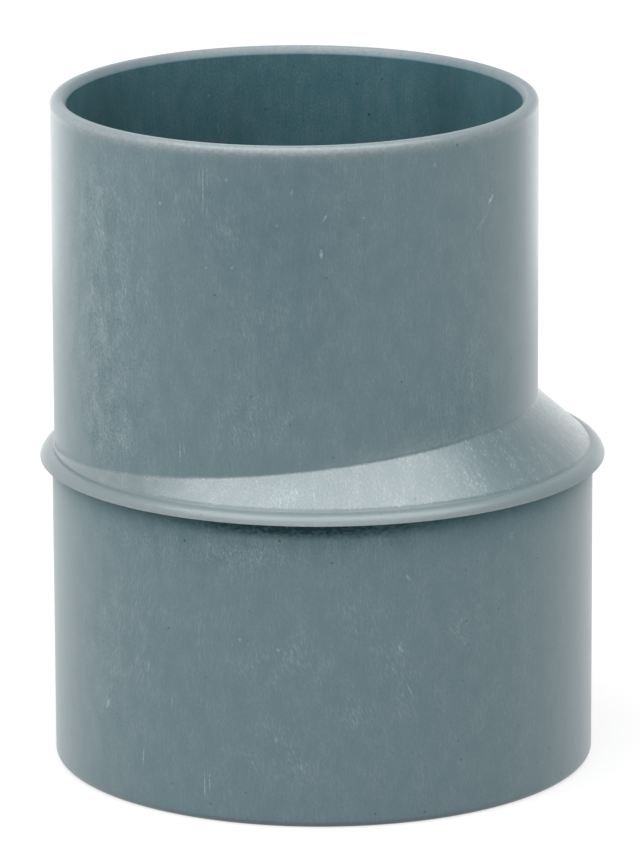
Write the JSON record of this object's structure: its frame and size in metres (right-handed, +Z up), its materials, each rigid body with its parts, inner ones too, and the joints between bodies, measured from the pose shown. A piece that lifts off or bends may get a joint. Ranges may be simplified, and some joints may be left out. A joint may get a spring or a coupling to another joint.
{
  "type": "eccentric pipe reducer",
  "caption": "Eccentric pipe reducer with a plain spigot, a stop collar, a sloped shoulder and a smaller socket set off to one side, moulded in one piece.",
  "frame": {"origin": "middle of the spigot's end, on the spigot's axis", "axes": "+Z runs up both axes from the spigot's end to the socket's mouth, and the socket's axis stands on the -X side"},
  "size_m": [0.094, 0.094, 0.112],
  "materials": {
    "reducer": "satin blue-grey rigid plastic, lightly scuffed"
  },
  "bodies": {
    "root": {"reducer": "reducer"}
  },
  "joints": []
}
